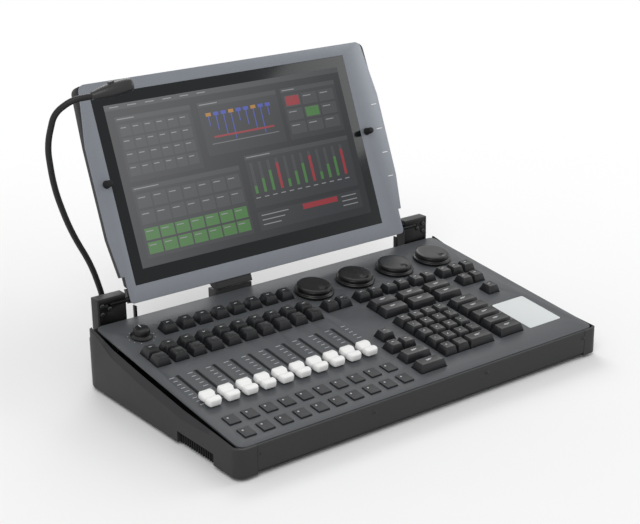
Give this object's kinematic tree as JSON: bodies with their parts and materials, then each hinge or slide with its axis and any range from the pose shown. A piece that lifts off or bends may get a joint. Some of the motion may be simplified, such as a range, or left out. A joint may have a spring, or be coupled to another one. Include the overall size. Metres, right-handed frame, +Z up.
{
  "type": "lighting control desk",
  "caption": "Sloping lighting control desk with faders, keys, encoder wheels, a touchpad, a folding touch display on two hinge towers and a gooseneck lamp.",
  "frame": {"origin": "centre of the bounding box on the surface that the feet stand on", "axes": "+X to the operator's right, +Y to the rear, +Z up"},
  "size_m": [0.5656, 0.3962, 0.3634],
  "materials": {
    "case_black": "fine textured powder coat, satin",
    "panel_grey": "fine textured powder coat, matt",
    "display_grey": "satin metallic paint",
    "bracket_steel": "black coated steel, semi gloss",
    "screw_steel": "bright zinc",
    "black_key": "fine grained moulded plastic",
    "dark_button": "silicone-like matt plastic",
    "white_cap": "satin white plastic",
    "wheel_black": "soft touch, concentric",
    "pad_grey": "smooth light grey",
    "screen_glass": "black cover glass, polished",
    "lcd": "panel module",
    "foot_rubber": "moulded rubber",
    "circuit": "solder mask",
    "component": "moulded component bodies",
    "socket_black": "moulded connector",
    "tube_black": "matt flexible sleeve",
    "lens_clear": "clear lens over white diodes"
  },
  "bodies": {
    "case": {"base_tray": "case_black", "left_cheek": "case_black", "right_cheek": "case_black", "front_fascia": "case_black", "rear_panel": "case_black", "rear_deck": "case_black", "top_panel": "panel_grey", "left_tower": "case_black", "right_tower": "case_black", "hinge_plates": "bracket_steel", "case_screws": "screw_steel", "feet": "foot_rubber", "vent_grilles": "component", "touchpad": "pad_grey", "control_board": "circuit", "main_board": "circuit", "power_supply": "component", "fader_bodies": "component", "rotary_bodies": "component", "switch_bodies": "component", "power_inlet": "socket_black", "dmx_sockets": "socket_black", "lamp_socket": "socket_black", "cable_saddle": "case_black", "lamp_plug": "socket_black"},
    "display": {"display_frame": "display_grey", "display_glass": "screen_glass", "lcd_module": "lcd", "display_back": "case_black", "display_bumpers": "foot_rubber", "hinge_arms": "bracket_steel", "cable_drum": "component"},
    "lamp": {"lamp_gooseneck": "tube_black", "lamp_head": "socket_black", "lamp_lens": "lens_clear"},
    "lamp_button": {"lamp_button": "socket_black"},
    "rear_cue_keys": {"rear_cue_keys": "black_key"},
    "middle_cue_keys": {"middle_cue_keys": "black_key"},
    "front_cue_keys": {"front_cue_keys": "black_key"},
    "number_keys": {"number_keys": "black_key"},
    "wide_keys": {"wide_keys": "black_key"},
    "encoder_keys": {"encoder_keys": "black_key"},
    "side_keys": {"side_keys": "black_key"},
    "rear_flash_buttons": {"rear_flash_buttons": "dark_button"},
    "front_flash_buttons": {"front_flash_buttons": "dark_button"},
    "fader_cap_1": {"fader_cap_1": "white_cap"},
    "fader_cap_2": {"fader_cap_2": "white_cap"},
    "fader_cap_3": {"fader_cap_3": "white_cap"},
    "fader_cap_4": {"fader_cap_4": "white_cap"},
    "fader_cap_5": {"fader_cap_5": "white_cap"},
    "fader_cap_6": {"fader_cap_6": "white_cap"},
    "fader_cap_7": {"fader_cap_7": "white_cap"},
    "fader_cap_8": {"fader_cap_8": "white_cap"},
    "fader_cap_9": {"fader_cap_9": "white_cap"},
    "fader_cap_10": {"fader_cap_10": "white_cap"},
    "encoder_wheel_1": {"encoder_wheel_1": "wheel_black"},
    "encoder_wheel_2": {"encoder_wheel_2": "wheel_black"},
    "encoder_wheel_3": {"encoder_wheel_3": "wheel_black"},
    "encoder_wheel_4": {"encoder_wheel_4": "wheel_black"},
    "level_knob": {"level_knob": "wheel_black"}
  },
  "joints": [
    {"name": "display_fold", "type": "hinge", "parent": "case", "child": "display", "pos_m": [0.02234, 0.09994, 0.0956], "axis": [1, 0, 0], "range_deg": [-20, 119]},
    {"name": "lamp_swing", "type": "hinge", "parent": "case", "child": "lamp", "pos_m": [-0.19966, 0.12834, 0.057], "axis": [0, 0, 1], "range_deg": [-45, 30]},
    {"name": "rear_cue_keys_press", "type": "slide", "parent": "case", "child": "rear_cue_keys", "axis": [0, 0.1366, -0.9906], "range_m": [0, 0.003], "stiffness_N_per_m": 720, "springref_m": -0.002},
    {"name": "middle_cue_keys_press", "type": "slide", "parent": "case", "child": "middle_cue_keys", "axis": [0, 0.1366, -0.9906], "range_m": [0, 0.003], "stiffness_N_per_m": 900, "springref_m": -0.002},
    {"name": "front_cue_keys_press", "type": "slide", "parent": "case", "child": "front_cue_keys", "axis": [0, 0.1366, -0.9906], "range_m": [0, 0.003], "stiffness_N_per_m": 900, "springref_m": -0.002},
    {"name": "number_keys_press", "type": "slide", "parent": "case", "child": "number_keys", "axis": [0, 0.1366, -0.9906], "range_m": [0, 0.003], "stiffness_N_per_m": 1710, "springref_m": -0.002},
    {"name": "wide_keys_press", "type": "slide", "parent": "case", "child": "wide_keys", "axis": [0, 0.1366, -0.9906], "range_m": [0, 0.003], "stiffness_N_per_m": 990, "springref_m": -0.002},
    {"name": "encoder_keys_press", "type": "slide", "parent": "case", "child": "encoder_keys", "axis": [0, 0.1366, -0.9906], "range_m": [0, 0.003], "stiffness_N_per_m": 1260, "springref_m": -0.002},
    {"name": "side_keys_press", "type": "slide", "parent": "case", "child": "side_keys", "axis": [0, 0.1366, -0.9906], "range_m": [0, 0.003], "stiffness_N_per_m": 450, "springref_m": -0.002},
    {"name": "rear_flash_buttons_press", "type": "slide", "parent": "case", "child": "rear_flash_buttons", "axis": [0, 0.1366, -0.9906], "range_m": [0, 0.001], "stiffness_N_per_m": 1000, "springref_m": -0.002},
    {"name": "front_flash_buttons_press", "type": "slide", "parent": "case", "child": "front_flash_buttons", "axis": [0, 0.1366, -0.9906], "range_m": [0, 0.001], "stiffness_N_per_m": 1000, "springref_m": -0.002},
    {"name": "fader_1_slide", "type": "slide", "parent": "case", "child": "fader_cap_1", "axis": [0, 0.9906, 0.1366], "range_m": [0, 0.06]},
    {"name": "fader_2_slide", "type": "slide", "parent": "case", "child": "fader_cap_2", "axis": [0, 0.9906, 0.1366], "range_m": [0, 0.06]},
    {"name": "fader_3_slide", "type": "slide", "parent": "case", "child": "fader_cap_3", "axis": [0, 0.9906, 0.1366], "range_m": [0, 0.06]},
    {"name": "fader_4_slide", "type": "slide", "parent": "case", "child": "fader_cap_4", "axis": [0, 0.9906, 0.1366], "range_m": [0, 0.06]},
    {"name": "fader_5_slide", "type": "slide", "parent": "case", "child": "fader_cap_5", "axis": [0, 0.9906, 0.1366], "range_m": [0, 0.06]},
    {"name": "fader_6_slide", "type": "slide", "parent": "case", "child": "fader_cap_6", "axis": [0, 0.9906, 0.1366], "range_m": [0, 0.06]},
    {"name": "fader_7_slide", "type": "slide", "parent": "case", "child": "fader_cap_7", "axis": [0, 0.9906, 0.1366], "range_m": [0, 0.06]},
    {"name": "fader_8_slide", "type": "slide", "parent": "case", "child": "fader_cap_8", "axis": [0, 0.9906, 0.1366], "range_m": [0, 0.06]},
    {"name": "fader_9_slide", "type": "slide", "parent": "case", "child": "fader_cap_9", "axis": [0, 0.9906, 0.1366], "range_m": [0, 0.06]},
    {"name": "fader_10_slide", "type": "slide", "parent": "case", "child": "fader_cap_10", "axis": [0, 0.9906, 0.1366], "range_m": [0, 0.06]},
    {"name": "encoder_1_turn", "type": "hinge", "parent": "case", "child": "encoder_wheel_1", "pos_m": [0.03854, 0.04006, 0.07368], "axis": [0, -0.1366, 0.9906], "continuous": true},
    {"name": "encoder_2_turn", "type": "hinge", "parent": "case", "child": "encoder_wheel_2", "pos_m": [0.10214, 0.04006, 0.07368], "axis": [0, -0.1366, 0.9906], "continuous": true},
    {"name": "encoder_3_turn", "type": "hinge", "parent": "case", "child": "encoder_wheel_3", "pos_m": [0.16574, 0.04006, 0.07368], "axis": [0, -0.1366, 0.9906], "continuous": true},
    {"name": "encoder_4_turn", "type": "hinge", "parent": "case", "child": "encoder_wheel_4", "pos_m": [0.22934, 0.04006, 0.07368], "axis": [0, -0.1366, 0.9906], "continuous": true},
    {"name": "level_knob_turn", "type": "hinge", "parent": "case", "child": "level_knob", "pos_m": [-0.19776, 0.04719, 0.07467], "axis": [0, -0.1366, 0.9906], "range_deg": [-150, 150]},
    {"name": "lamp_button_press", "type": "slide", "parent": "lamp", "child": "lamp_button", "axis": [0.1638, -0.0201, -0.9863], "range_m": [0, 0.0006], "stiffness_N_per_m": 300, "springref_m": -0.001}
  ]
}
